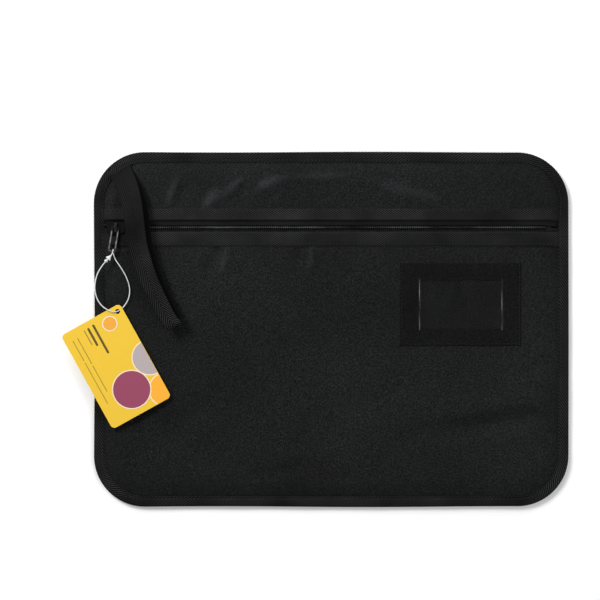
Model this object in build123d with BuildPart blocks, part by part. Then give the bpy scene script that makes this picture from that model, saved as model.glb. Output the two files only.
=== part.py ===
from build123d import *
import math
import os

# A flat zipped document bag lying on its back: +X to the bag's right, +Y to its top edge,
# +Z out of the front face. The origin is under the middle of the bag, on the surface it lies on.
# All sizes are in millimetres.

# ---- driving dimensions: the bag ----
bag_length = 385.0
bag_height = 288.0
corner_radius = 42.0
back_thickness = 1.0
front_thickness = 0.8
front_height = 7.6          # outer face of the front panels above the surface
slope_width = 8.0           # width of the bevel from the front panels down to the binding

# ---- edge binding: one tape folded round the panels' edges ----
binding_width = 8.5
binding_tape = 0.6
binding_fold = 0.8
binding_height = 4.0
thread_width = 0.5
thread_height = 0.25
thread_inset = 1.6          # from the binding's inner edge to its line of stitches

# ---- zip: a coil chain on two tapes, between two folded facings ----
zip_drop = 62.0             # from the bag's top edge down to the chain's centre line
zip_end_gap = 0.5           # from the ends of the zip strips to the binding
tape_drop = 1.6             # from the front panels' outer face down to the tapes' underside
tape_thickness = 0.5
tape_split = 1.2            # from the centre line to each tape's edge
tape_width = 12.0
coil_height = 1.8
coil_width = 2.2            # from the centre line to the coil's outer edge
coil_spine = 1.0            # from the centre line to the spine that the teeth stand on
tooth_pitch = 1.6
tooth_width = 0.6
tooth_reach = 0.8           # how far each tooth crosses the centre line
chain_end_gap = 9.5         # from the right ends of the strips to the last tooth
chain_lead = 1.8            # teeth to the left of the closed slider's centre
stop_length = 1.6
stop_width = 2.0
stop_corner = 0.5
end_stop_length = 3.0
end_stop_overhang = 0.6     # how far the bottom stop reaches past the lower coil
facing_lower_gap = 3.6      # from the chain's centre line to each facing's fold
facing_upper_gap = 6.0
facing_lower_width = 11.0
facing_upper_width = 9.2
facing_thickness = 0.6
facing_fold = 0.9
lower_travel = 7.0          # how far each side of the mouth draws back when the zip is open
upper_travel = 4.0
sliding_gap = 0.3           # clearance between pieces that move past each other

# ---- slider and pull ----
slider_end_gap = 9.5        # from the left ends of the strips to the closed slider's centre
slider_length = 14.5
slider_width = 10.5
slider_inset = 1.0          # how much narrower the bottom plate is on each side
slider_plate = 0.9
slider_taper = 1.2
slider_corner = 2.2
flange_width = 0.8
wedge_width = 1.8
wedge_length = 4.0
wedge_inset = 1.0           # of the wedge and the flanges from the plates' ends
crown_width = 2.0
crown_reach = 3.8           # from the slider's centre to the outside of the crown's legs
crown_leg = 1.2
tunnel_height = 1.8
pull_lean = 9.0             # the pull hangs this many degrees off the bag's up-and-down line
pull_length = 20.0
pull_width = 6.0
pull_rail = 1.0
pull_thickness = 1.2
pull_web_start = 7.0
pull_web_length = 6.5
pull_web_thickness = 0.5
pull_end_bar = 1.5
pull_corner = 1.2

# ---- card pocket ----
pocket_width = 98.0
pocket_height = 67.0
pocket_side_gap = 39.3      # from the bag's right edge to the pocket
pocket_drop = 28.3          # from the chain's centre line to the pocket's top edge
pocket_thickness = 0.6
window_width = 69.0
window_height = 38.3
window_thickness = 0.3
window_border = 5.0

# ---- wrist strap: a tape doubled into a loop, both ends caught under the binding ----
strap_width = 16.0
strap_thickness = 1.0
strap_clear = 1.0           # from the slider's crown to the lower ply
strap_gap = 4.5             # between the two plies
strap_seam_drop = 1.4       # from the front panels' outer face to the lower ply's middle at the seam
strap_seam_gap = 0.3        # between the plies at the seam
strap_offset = 4.0          # the lower ply lies this far to the right of the upper one
strap_seam_side = 22.0      # from the bag's left edge to the seam
strap_seam_top = 15.5       # from the bag's top edge to the seam
strap_line = [
    # way right and way down from the seam, heading, share of the rise, width beyond the tape's own
    (0.0, 0.0, -63.4, 0.0, 2.0),
    (6.9, 14.5, -70.0, 0.63, 1.0),
    (10.5, 27.5, -78.0, 0.88, 0.0),
    (12.3, 40.5, -82.0, 1.0, 0.0),
    (14.5, 58.5, -80.0, 1.0, 0.0),
    (19.5, 76.5, -70.0, 1.0, -1.0),
    (26.9, 94.5, -66.0, 1.0, -2.5),
    (36.3, 113.5, -61.0, 1.0, -3.0),
    (41.5, 121.7, -58.0, 1.0, -3.0),
]

# ---- hang tag and its nylon loop ----
tag_width = 54.0
tag_height = 86.0
tag_thickness = 0.5
tag_corner = 3.5
tag_hole = 2.0              # radius
tag_turn = 29.0
tag_hole_right = 4.71       # from the pull's end bar to the hole
tag_hole_down = 48.39
tag_hole_inset = 4.9        # from the card's top edge to the hole
tag_hole_side = 4.6         # from the card's right edge to the hole
filament = 0.9
loop_shape = [
    # from the middle of the pull's end bar: right, up the bag and off it
    (-0.59, -3.49, 1.30),
    (0.61, -2.19, 1.50),
    (1.26, 1.41, 1.60),
    (1.26, 1.41, -1.30),
    (1.11, -1.99, -1.30),
    (2.61, -6.59, -1.30),
    (7.11, -12.69, -1.20),
    (12.01, -20.99, -1.10),
    (14.71, -29.99, -1.10),
    (13.81, -37.79, -1.20),
    (10.41, -43.79, -1.30),
    (6.31, -47.59, -1.10),
    (2.71, -49.09, 1.60),
    (-3.39, -47.39, 1.60),
    (-9.39, -42.59, 1.50),
    (-12.99, -35.39, 1.20),
    (-13.79, -27.39, 0.90),
    (-12.19, -19.39, 0.60),
    (-8.59, -12.49, 0.50),
    (-4.99, -8.39, 0.80),
]
lock_ball_radius = 1.3
lock_neck_radius = 0.8
lock_arrow_radius = 1.7
lock_tip_radius = 0.7

# ---- worked out from the sizes above ----
inner_length = bag_length - 2 * binding_width
inner_height = bag_height - 2 * binding_width
inner_radius = corner_radius - binding_width
rim_length = bag_length - 2 * binding_fold
rim_height = bag_height - 2 * binding_fold
rim_radius = corner_radius - binding_fold
rim_split = back_thickness
rim_overlap = 1.2
slope_angle = math.degrees(math.atan(slope_width / (front_height - rim_split)))
zip_half = inner_length / 2 - zip_end_gap
zip_y = bag_height / 2 - zip_drop
slider_x = -zip_half + slider_end_gap
chain_start = slider_x - chain_lead
chain_end = zip_half - chain_end_gap
tape_base = front_height - tape_drop
tape_top = tape_base + tape_thickness
tongue_length = slope_width + zip_end_gap
facing_lower_mouth = zip_y - facing_lower_gap
facing_lower_edge = facing_lower_mouth - facing_lower_width
facing_upper_mouth = zip_y + facing_upper_gap
facing_upper_edge = facing_upper_mouth + facing_upper_width
pocket_x = bag_length / 2 - pocket_side_gap - pocket_width / 2
pocket_y = zip_y - pocket_drop - pocket_height / 2
facing_base = front_height + sliding_gap
facing_top = facing_base + facing_thickness
panel_lower_edge = facing_lower_mouth - facing_fold - lower_travel - sliding_gap
panel_upper_edge = facing_upper_mouth + facing_fold + upper_travel + sliding_gap
tongue_width = zip_y - tape_split - lower_travel - panel_lower_edge - sliding_gap
top_plate_base = facing_top + sliding_gap
top_plate_top = top_plate_base + slider_plate
bottom_plate_top = tape_base - sliding_gap
bottom_plate_base = bottom_plate_top - slider_plate
crown_top = top_plate_top + tunnel_height + slider_plate
pull_z = top_plate_top + tunnel_height / 2
lean = math.radians(pull_lean)
pull_axis = (math.cos(lean), -math.sin(lean), 0)
pull_bar_from_hinge = pull_length - pull_end_bar / 2
bar_x = slider_x - pull_bar_from_hinge * math.sin(lean)
bar_y = zip_y - pull_bar_from_hinge * math.cos(lean)
strap_low = crown_top + strap_clear + strap_thickness / 2
strap_high = strap_low + strap_thickness + strap_gap
strap_seam_low = front_height - strap_seam_drop
strap_seam_high = strap_seam_low + strap_thickness + strap_seam_gap
tag_base = pull_z
tag_hole_x = bar_x + tag_hole_right
tag_hole_y = bar_y - tag_hole_down
loop_route = [(bar_x + x, bar_y + y, pull_z + z) for x, y, z in loop_shape]

os.makedirs("parts", exist_ok=True)


def save(builder, label):
    builder.part.label = label
    export_step(builder.part, f"parts/{label}.step")


def front_shell():
    """The whole front skin: a flat face with a bevelled edge all round, open underneath."""
    rise = front_height - rim_split
    with BuildPart() as shell:
        with BuildSketch(Plane.XY.offset(rim_split)):
            RectangleRounded(inner_length, inner_height, inner_radius)
        extrude(amount=rise, taper=slope_angle)
        with BuildSketch(Plane.XY.offset(rim_split - front_thickness)):
            RectangleRounded(inner_length, inner_height, inner_radius)
        extrude(amount=rise, taper=slope_angle, mode=Mode.SUBTRACT)
    return shell.part


def rim(base, top):
    """The panel's edge inside the binding, as a ring between two heights."""
    with BuildPart() as ring:
        with BuildSketch(Plane.XY.offset(base)):
            RectangleRounded(rim_length, rim_height, rim_radius)
            RectangleRounded(
                inner_length - 2 * rim_overlap,
                inner_height - 2 * rim_overlap,
                inner_radius - rim_overlap,
                mode=Mode.SUBTRACT,
            )
        extrude(amount=top - base)
    return ring.part


def keep_below(y):
    split(bisect_by=Plane(origin=(0, y, 0), z_dir=(0, 1, 0)), keep=Keep.BOTTOM)


def keep_above(y):
    split(bisect_by=Plane(origin=(0, y, 0), z_dir=(0, 1, 0)), keep=Keep.TOP)


def block(x_range, y_range, z_range):
    """A plain block in the current part, between two values along each axis."""
    spans = (x_range, y_range, z_range)
    middle = [(low + high) / 2 for low, high in spans]
    with Locations(tuple(middle)):
        Box(*[high - low for low, high in spans])


# ---- panels ----
with BuildPart() as back_panel:
    with BuildSketch():
        RectangleRounded(inner_length, inner_height, inner_radius)
    extrude(amount=back_thickness)
    add(rim(binding_tape, rim_split))
save(back_panel, "back_panel")

rim_top = binding_height - binding_tape

with BuildPart() as lower_rim:
    add(rim(rim_split, rim_top))
    keep_below(zip_y)

with BuildPart() as front_panel_lower:
    add(front_shell())
    keep_below(panel_lower_edge)
    add(lower_rim.part)
save(front_panel_lower, "front_panel_lower")

with BuildPart() as upper_rim:
    add(rim(rim_split, rim_top))
    keep_above(zip_y)

with BuildPart() as front_panel_upper:
    add(front_shell())
    keep_above(panel_upper_edge)
    add(upper_rim.part)
save(front_panel_upper, "front_panel_upper")

# ---- edge binding and its stitches ----
with BuildPart() as edge_binding:
    with BuildSketch():
        RectangleRounded(bag_length, bag_height, corner_radius)
        RectangleRounded(inner_length, inner_height, inner_radius, mode=Mode.SUBTRACT)
    extrude(amount=binding_height)
    with BuildSketch(Plane.XY.offset(binding_tape)):
        RectangleRounded(rim_length, rim_height, rim_radius)
    extrude(amount=binding_height - 2 * binding_tape, mode=Mode.SUBTRACT)
save(edge_binding, "edge_binding")

thread_length = inner_length + 2 * thread_inset
thread_span = inner_height + 2 * thread_inset
thread_radius = inner_radius + thread_inset
with BuildPart() as edge_thread:
    with BuildSketch(Plane.XY.offset(binding_height)):
        RectangleRounded(thread_length, thread_span, thread_radius)
        RectangleRounded(
            thread_length - 2 * thread_width,
            thread_span - 2 * thread_width,
            thread_radius - thread_width,
            mode=Mode.SUBTRACT,
        )
    extrude(amount=thread_height)
save(edge_thread, "edge_thread")


# ---- zip tapes, coils and facings ----
def make_tape(label, side):
    """One tape: broad along the mouth, with a narrow tongue at each end."""
    near = zip_y + side * tape_split
    far = near + side * tape_width
    tongue = near + side * tongue_width
    with BuildPart() as tape:
        wide = zip_half - tongue_length
        block((-wide, wide), sorted((near, far)), (tape_base, tape_top))
        block((-zip_half, zip_half), sorted((near, tongue)), (tape_base, tape_top))
    save(tape, label)


def make_coil(label, side):
    """One half of the chain: a spine on the tape with teeth that reach past the centre."""
    spine_near = zip_y + side * coil_spine
    spine_far = zip_y + side * coil_width
    length = chain_end - chain_start
    teeth = int(length / tooth_pitch) - 1
    shift = side * tooth_pitch / 4
    middle = (chain_start + chain_end) / 2
    tooth_near = zip_y - side * tooth_reach
    tooth_length = coil_spine + tooth_reach + sliding_gap
    with BuildPart() as coil:
        with BuildSketch(Plane.XY.offset(tape_top)):
            with Locations((middle, (spine_near + spine_far) / 2)):
                Rectangle(length, abs(spine_far - spine_near))
            with Locations((middle + shift, tooth_near + side * tooth_length / 2)):
                with GridLocations(tooth_pitch, 1, teeth, 1):
                    Rectangle(tooth_width, tooth_length)
        extrude(amount=coil_height)
    save(coil, label)


def make_facing(label, edge, mouth, side):
    """A tape folded over the mouth's edge: a flat top ply and a short leg down to the zip tape."""
    leg = mouth + side * facing_fold
    with BuildPart() as facing:
        block((-zip_half, zip_half), sorted((edge, mouth)), (facing_base, facing_top))
        block((-zip_half, zip_half), sorted((leg, mouth)), (tape_top, facing_top))
    save(facing, label)


def make_facing_thread(label, edge, side):
    line = edge - side * thread_inset
    with BuildPart() as thread:
        y_range = (line - thread_width / 2, line + thread_width / 2)
        block((-zip_half, zip_half), y_range, (facing_top, facing_top + thread_height))
    save(thread, label)


def make_stop(label, x_range, y_range):
    """A moulded stop on the tape's edge."""
    with BuildPart() as stop:
        block(x_range, y_range, (tape_top, tape_top + coil_height))
        fillet(stop.edges().filter_by(Axis.Z), stop_corner)
    save(stop, label)


make_tape("zip_tape_lower", -1)
make_tape("zip_tape_upper", 1)
make_coil("zip_coil_lower", -1)
make_coil("zip_coil_upper", 1)
make_facing("zip_facing_lower", facing_lower_edge, facing_lower_mouth, -1)
make_facing("zip_facing_upper", facing_upper_edge, facing_upper_mouth, 1)
make_facing_thread("facing_thread_lower", facing_lower_edge, -1)
make_facing_thread("facing_thread_upper", facing_upper_edge, 1)

top_stop = (-zip_half, -zip_half + stop_length)
make_stop("zip_top_stop_lower", top_stop, (zip_y - tape_split - stop_width, zip_y - tape_split))
make_stop("zip_top_stop_upper", top_stop, (zip_y + tape_split, zip_y + tape_split + stop_width))
bottom_stop = (chain_end, chain_end + end_stop_length)
end_stop_low = zip_y - coil_width - end_stop_overhang
make_stop("zip_bottom_stop", bottom_stop, (end_stop_low, zip_y + coil_spine))

# ---- slider: two plates joined by a wedge, side flanges, and a crown over the top ----
def slider_plate_outline(width):
    """A plate that narrows from the open end of the slider to its closed end."""
    half_length = slider_length / 2
    narrow = width / 2 - slider_taper
    with BuildSketch() as outline:
        with BuildLine():
            Polyline(
                (-half_length, -width / 2),
                (half_length, -narrow),
                (half_length, narrow),
                (-half_length, width / 2),
                close=True,
            )
        make_face()
        fillet(outline.vertices(), slider_corner)
    return outline.sketch


flange_near = coil_width + sliding_gap
flange_far = flange_near + flange_width
slider_start = slider_x - slider_length / 2
slider_end = slider_x + slider_length / 2
flange_start = slider_start + slider_corner + wedge_inset
flange_end = slider_end - wedge_inset
with BuildPart() as zip_slider:
    with BuildSketch(Plane(origin=(slider_x, zip_y, bottom_plate_base))):
        add(slider_plate_outline(slider_width - 2 * slider_inset))
    extrude(amount=slider_plate)
    with BuildSketch(Plane(origin=(slider_x, zip_y, top_plate_base))):
        add(slider_plate_outline(slider_width))
    extrude(amount=slider_plate)
    wedge_start = slider_start + wedge_inset
    block(
        (wedge_start, wedge_start + wedge_length),
        (zip_y - wedge_width / 2, zip_y + wedge_width / 2),
        (bottom_plate_top, top_plate_base),
    )
    for side in (-1, 1):
        block(
            (flange_start, flange_end),
            sorted((zip_y + side * flange_near, zip_y + side * flange_far)),
            (tape_top + sliding_gap, top_plate_base),
        )
    crown_half = crown_width / 2
    block(
        (slider_x - crown_half, slider_x + crown_half),
        (zip_y - crown_reach, zip_y + crown_reach),
        (top_plate_top, crown_top),
    )
    fillet(zip_slider.edges().group_by(Axis.Z)[-1].filter_by(Axis.X), slider_plate)
    tunnel = crown_reach - crown_leg
    with BuildSketch(Plane.XY.offset(top_plate_top)):
        with Locations((slider_x, zip_y)):
            Rectangle(2 * crown_width, 2 * tunnel)
    extrude(amount=tunnel_height, mode=Mode.SUBTRACT)
save(zip_slider, "zip_slider")

# ---- pull: a bar in the crown's tunnel, two rails, a web between them and an end bar ----
pull_plane = Plane(
    origin=(slider_x, zip_y, pull_z),
    x_dir=pull_axis,
    z_dir=(0, 0, 1),
)
rail_middle = (pull_width - pull_rail) / 2
web_middle = pull_web_start + pull_web_length / 2
with BuildPart() as zip_pull:
    with BuildSketch(pull_plane.offset(-pull_thickness / 2)):
        with Locations((-rail_middle, -pull_length / 2), (rail_middle, -pull_length / 2)):
            Rectangle(pull_rail, pull_length)
        with Locations((0, -pull_bar_from_hinge)):
            Rectangle(pull_width, pull_end_bar)
    extrude(amount=pull_thickness)
    fillet(zip_pull.edges().filter_by(Axis.Z).sort_by(Axis.Y)[:2], pull_corner)
    with BuildSketch(pull_plane.offset(-pull_web_thickness / 2)):
        with Locations((0, -web_middle)):
            Rectangle(pull_width - pull_rail, pull_web_length)
    extrude(amount=pull_web_thickness)
    with BuildSketch(Plane(origin=pull_plane.origin, x_dir=(0, 0, 1), z_dir=pull_axis)):
        Circle(pull_thickness / 2)
    extrude(amount=pull_width / 2, both=True)
    with BuildSketch(Plane(origin=(bar_x, bar_y, pull_z), x_dir=(0, 0, 1), z_dir=pull_axis)):
        Circle(pull_end_bar / 2)
    extrude(amount=rail_middle, both=True)
save(zip_pull, "zip_pull")

# ---- card pocket: a sewn frame with a clear window under its inner edge ----
with BuildPart() as id_pocket_frame:
    with BuildSketch(Plane.XY.offset(front_height)):
        with Locations((pocket_x, pocket_y)):
            Rectangle(pocket_width, pocket_height)
            Rectangle(window_width, window_height, mode=Mode.SUBTRACT)
    extrude(amount=pocket_thickness)
    with BuildSketch(Plane.XY.offset(front_height)):
        with Locations((pocket_x, pocket_y)):
            Rectangle(window_width + 2 * window_border, window_height + 2 * window_border)
    extrude(amount=window_thickness, mode=Mode.SUBTRACT)
save(id_pocket_frame, "id_pocket_frame")

with BuildPart() as id_pocket_window:
    with BuildSketch(Plane.XY.offset(front_height)):
        with Locations((pocket_x, pocket_y)):
            Rectangle(window_width + 2 * window_border, window_height + 2 * window_border)
    extrude(amount=window_thickness)
save(id_pocket_window, "id_pocket_window")

pocket_seam = (pocket_width - 2 * thread_inset, pocket_height - 2 * thread_inset)
with BuildPart() as pocket_thread:
    with BuildSketch(Plane.XY.offset(front_height + pocket_thickness)):
        with Locations((pocket_x, pocket_y)):
            Rectangle(pocket_seam[0], pocket_seam[1])
            Rectangle(
                pocket_seam[0] - 2 * thread_width,
                pocket_seam[1] - 2 * thread_width,
                mode=Mode.SUBTRACT,
            )
        with Locations((pocket_x, pocket_y + pocket_seam[1] / 2)):
            Rectangle(pocket_seam[0] - 2 * thread_width, 2 * thread_width, mode=Mode.SUBTRACT)
    extrude(amount=thread_height)
save(pocket_thread, "pocket_thread")


# ---- wrist strap ----
def strap_station(x, y, z, heading, tilt, width):
    """A cross-section of the tape: heading is its way across the bag and tilt its climb, in degrees."""
    turn = math.radians(heading)
    climb = math.radians(tilt)
    along = (
        math.cos(turn) * math.cos(climb),
        math.sin(turn) * math.cos(climb),
        math.sin(climb),
    )
    across = (-math.sin(turn), math.cos(turn), 0)
    with BuildSketch(Plane(origin=(x, y, z), x_dir=across, z_dir=along)) as section:
        Rectangle(width, strap_thickness)
    return section.sketch


seam_x = strap_seam_side - bag_length / 2
seam_y = bag_height / 2 - strap_seam_top


def strap_height(seam, level, rise):
    return seam + (level - seam) * rise


def strap_tilt(index, seam, level):
    """The climb of the tape at a station, from the stations on each side of it."""
    before = strap_line[max(index - 1, 0)]
    after = strap_line[min(index + 1, len(strap_line) - 1)]
    run = math.hypot(after[0] - before[0], after[1] - before[1])
    climb = strap_height(seam, level, after[3]) - strap_height(seam, level, before[3])
    return math.degrees(math.atan2(climb, run))


fold_radius = (strap_high - strap_low) / 2
upper_ply = []
lower_ply = []
for index, (right, down, heading, rise, extra) in enumerate(strap_line):
    x = seam_x + right
    y = seam_y - down
    width = strap_width + extra
    level = strap_height(strap_seam_high, strap_high, rise)
    tilt = strap_tilt(index, strap_seam_high, strap_high)
    upper_ply.append(strap_station(x, y, level, heading, tilt, width))
    level = strap_height(strap_seam_low, strap_low, rise)
    tilt = strap_tilt(index, strap_seam_low, strap_low)
    shift = strap_offset * rise
    lower_ply.append(strap_station(x + shift, y, level, heading + 180, -tilt, width))

last_right, last_down, last_heading, _, last_extra = strap_line[-1]
last_x = seam_x + last_right
last_y = seam_y - last_down
last_width = strap_width + last_extra
fold = []
for step in (1, 2, 3):
    turn = math.radians(45 * step)
    reach = fold_radius * math.sin(turn)
    shift = strap_offset * step / 4
    fold.append(
        strap_station(
            last_x + shift + reach * math.cos(math.radians(last_heading)),
            last_y + reach * math.sin(math.radians(last_heading)),
            strap_high - fold_radius * (1 - math.cos(turn)),
            last_heading,
            -45 * step,
            last_width,
        )
    )
with BuildPart() as wrist_strap:
    loft(upper_ply + fold + lower_ply[::-1], ruled=True)
save(wrist_strap, "wrist_strap")


# ---- nylon loop, its lock and the hang tag ----
def corner_radii(points):
    """Each bend as wide as its two runs allow."""
    radii = []
    for a, b, c in zip(points, points[1:], points[2:]):
        first = Vector(*b) - Vector(*a)
        second = Vector(*c) - Vector(*b)
        turn = math.radians(first.get_angle(second))
        radii.append(0.45 * min(first.length, second.length) / math.tan(turn / 2))
    return radii


loop_radii = corner_radii(loop_route)
print("loop radii", [round(r, 1) for r in loop_radii])
with BuildPart() as tag_loop:
    with BuildLine() as loop_path:
        FilletPolyline(*loop_route, radius=loop_radii)
    loop_wire = loop_path.wire()
    with BuildSketch(Plane(origin=loop_wire @ 0, z_dir=loop_wire % 0)):
        Circle(filament / 2)
    sweep()
loop_section = math.pi * filament**2 / 4
print("loop length", round(loop_wire.length, 1))
print("volume ratio", round(tag_loop.part.volume / (loop_section * loop_wire.length), 3))
save(tag_loop, "tag_loop")

lock_tip = Vector(*loop_route[0])
lock_ball = Vector(*loop_route[-1])
lock_length = (lock_tip - lock_ball).length
with BuildPart() as tag_loop_lock:
    lock_plane = Plane(origin=lock_ball, z_dir=lock_tip - lock_ball)
    with BuildSketch(Plane(origin=lock_ball, x_dir=lock_plane.x_dir, z_dir=lock_plane.y_dir)):
        with BuildLine():
            Polyline(
                (0, 0),
                (lock_neck_radius, 0),
                (lock_ball_radius, -0.4 * lock_ball_radius),
                (lock_ball_radius, -1.2 * lock_ball_radius),
                (lock_neck_radius, -1.6 * lock_ball_radius),
                (lock_neck_radius, -2.2 * lock_ball_radius),
                (lock_arrow_radius, -2.6 * lock_ball_radius),
                (lock_tip_radius, -lock_length),
                (0, -lock_length),
                close=True,
            )
        make_face()
    revolve(axis=Axis(origin=lock_ball, direction=lock_tip - lock_ball))
save(tag_loop_lock, "tag_loop_lock")

tag_angle = math.radians(tag_turn)
tag_plane = Plane(
    origin=(tag_hole_x, tag_hole_y, tag_base),
    x_dir=(math.cos(tag_angle), math.sin(tag_angle), 0),
    z_dir=(0, 0, 1),
)
with BuildPart() as hang_tag:
    with BuildSketch(tag_plane):
        with Locations((tag_hole_side - tag_width / 2, tag_hole_inset - tag_height / 2)):
            RectangleRounded(tag_width, tag_height, tag_corner)
        Circle(tag_hole, mode=Mode.SUBTRACT)
    extrude(amount=tag_thickness)
save(hang_tag, "hang_tag")
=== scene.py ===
import math

import bmesh
import bpy
import numpy as np
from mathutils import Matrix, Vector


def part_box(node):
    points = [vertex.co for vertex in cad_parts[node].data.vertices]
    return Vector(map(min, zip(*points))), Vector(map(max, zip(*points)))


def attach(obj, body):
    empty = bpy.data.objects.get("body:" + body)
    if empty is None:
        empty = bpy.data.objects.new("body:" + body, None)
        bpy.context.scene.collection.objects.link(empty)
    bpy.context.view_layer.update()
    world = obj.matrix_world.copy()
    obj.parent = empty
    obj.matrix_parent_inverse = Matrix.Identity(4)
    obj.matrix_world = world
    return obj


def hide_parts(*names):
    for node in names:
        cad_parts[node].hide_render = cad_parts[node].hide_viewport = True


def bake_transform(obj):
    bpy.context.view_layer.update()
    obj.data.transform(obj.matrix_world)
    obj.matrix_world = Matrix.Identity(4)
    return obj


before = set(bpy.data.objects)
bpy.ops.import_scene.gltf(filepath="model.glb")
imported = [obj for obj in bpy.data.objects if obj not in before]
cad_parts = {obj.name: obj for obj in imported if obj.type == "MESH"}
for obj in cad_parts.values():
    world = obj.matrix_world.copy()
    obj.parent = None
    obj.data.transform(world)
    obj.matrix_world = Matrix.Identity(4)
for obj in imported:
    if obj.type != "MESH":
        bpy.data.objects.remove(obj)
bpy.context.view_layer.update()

# Sizes in this file are in millimetres, in the CAD model's frame, and become metres in make_mesh.
MM = 0.001


def span(node):
    """A CAD node's lowest and highest corners, in millimetres."""
    low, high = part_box(node)
    return np.array(low) / MM, np.array(high) / MM


def add_object(name, data):
    made = bpy.data.objects.new(name, data)
    bpy.context.scene.collection.objects.link(made)
    return made


# ---- camera: straight above the bag, as long-lensed as the photograph ----
VIEW_X = -25.4
VIEW_Y = 23.8
VIEW_WIDTH = 484.0
VIEW_HEIGHT = 1500.0
SENSOR = 36.0


def make_camera():
    data = bpy.data.cameras.new("camera")
    data.sensor_width = SENSOR
    data.lens = SENSOR * (VIEW_HEIGHT - 8.0) / VIEW_WIDTH
    camera = add_object("camera", data)
    camera.location = (VIEW_X * MM, VIEW_Y * MM, VIEW_HEIGHT * MM)
    bpy.context.scene.camera = camera


def make_light(name, place, size, power):
    """A soft square lamp aimed at the middle of the bag."""
    data = bpy.data.lights.new(name, "AREA")
    data.size = size
    data.energy = power
    lamp = add_object(name, data)
    lamp.location = place
    aim = -lamp.location
    lamp.rotation_euler = aim.to_track_quat("-Z", "Y").to_euler()


def make_studio():
    world = bpy.data.worlds.new("studio")
    world.use_nodes = True
    background = world.node_tree.nodes["Background"]
    background.inputs["Color"].default_value = (1.0, 1.0, 1.0, 1.0)
    background.inputs["Strength"].default_value = 0.3
    bpy.context.scene.world = world
    bpy.context.scene.view_settings.view_transform = "Standard"
    make_light("key", (-1.0, 0.95, 1.05), 0.6, 30.0)
    make_light("fill", (1.2, -0.5, 1.2), 1.0, 12.0)
    make_light("rim", (0.1, 1.6, 0.7), 0.8, 10.0)


# ---- materials ----
class Shader:
    """A node material, with short ways to add and join its nodes."""

    def __init__(self, name, roughness=0.5, specular=0.5, **sockets):
        self.material = bpy.data.materials.new(name)
        self.material.use_nodes = True
        self.tree = self.material.node_tree
        self.body = self.tree.nodes["Principled BSDF"]
        self.body.inputs["Roughness"].default_value = roughness
        self.body.inputs["Specular IOR Level"].default_value = specular
        for socket, value in sockets.items():
            self.body.inputs[socket.replace("_", " ")].default_value = value
        self.place = self.node("ShaderNodeTexCoord").outputs["Object"]

    def node(self, kind, **settings):
        made = self.tree.nodes.new(kind)
        for name, value in settings.items():
            setattr(made, name, value)
        return made

    def put(self, socket, value):
        if isinstance(value, bpy.types.NodeSocket):
            self.tree.links.new(value, socket)
        else:
            socket.default_value = value

    def math(self, operation, first, second=0.0):
        made = self.node("ShaderNodeMath", operation=operation)
        self.put(made.inputs[0], first)
        self.put(made.inputs[1], second)
        return made.outputs[0]

    def times(self, first, second):
        return self.math("MULTIPLY", first, second)

    def plus(self, first, second):
        return self.math("ADD", first, second)

    def axes(self):
        """The object's X, Y and Z in metres."""
        split = self.node("ShaderNodeSeparateXYZ")
        self.put(split.inputs[0], self.place)
        return split.outputs

    def noise(self, scale, detail=2.0, stretch=None):
        made = self.node("ShaderNodeTexNoise")
        made.inputs["Scale"].default_value = scale
        made.inputs["Detail"].default_value = detail
        source = self.place
        if stretch:
            mapping = self.node("ShaderNodeMapping")
            mapping.inputs["Scale"].default_value = stretch
            self.put(mapping.inputs["Vector"], self.place)
            source = mapping.outputs[0]
        self.put(made.inputs["Vector"], source)
        return made.outputs["Fac"]

    def blend(self, share, low, high):
        made = self.node("ShaderNodeMix", data_type="RGBA")
        self.put(made.inputs[0], share)
        self.put(made.inputs[6], low)
        self.put(made.inputs[7], high)
        return made.outputs[2]

    # the mesh's mask of painted light and shade
    def painted_light_mask(self):
        return self.node("ShaderNodeAttribute", attribute_name="painted_light_mask").outputs["Fac"]

    def ramp(self, value, low, high):
        """The value rescaled so that low gives 0 and high gives 1."""
        made = self.node("ShaderNodeMapRange")
        self.put(made.inputs["Value"], value)
        made.inputs["From Min"].default_value = low
        made.inputs["From Max"].default_value = high
        return made.outputs[0]

    def colour(self, value):
        self.put(self.body.inputs["Base Color"], value)

    def bump(self, height, depth_mm, strength=1.0):
        made = self.node("ShaderNodeBump")
        made.inputs["Distance"].default_value = depth_mm * MM
        made.inputs["Strength"].default_value = strength
        self.put(made.inputs["Height"], height)
        self.put(self.body.inputs["Normal"], made.outputs[0])


def grey(level, blue=0.0):
    """A neutral tone, a share bluer where blue is set."""
    return (level, level, level * (1 + blue), 1.0)


def weave(shader, pitch_mm):
    """The height of a plain weave: rounded threads that pass over and under each other."""
    x, y, _ = shader.axes()
    turns = math.pi / (pitch_mm * MM)
    across = shader.math("SINE", shader.times(x, turns))
    along = shader.math("SINE", shader.times(y, turns))
    over = shader.math("GREATER_THAN", shader.times(across, along), 0.0)
    warp = shader.math("ABSOLUTE", across)
    weft = shader.math("ABSOLUTE", along)
    first = shader.times(over, warp)
    second = shader.times(shader.math("SUBTRACT", 1.0, over), weft)
    return shader.plus(first, second)


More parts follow.
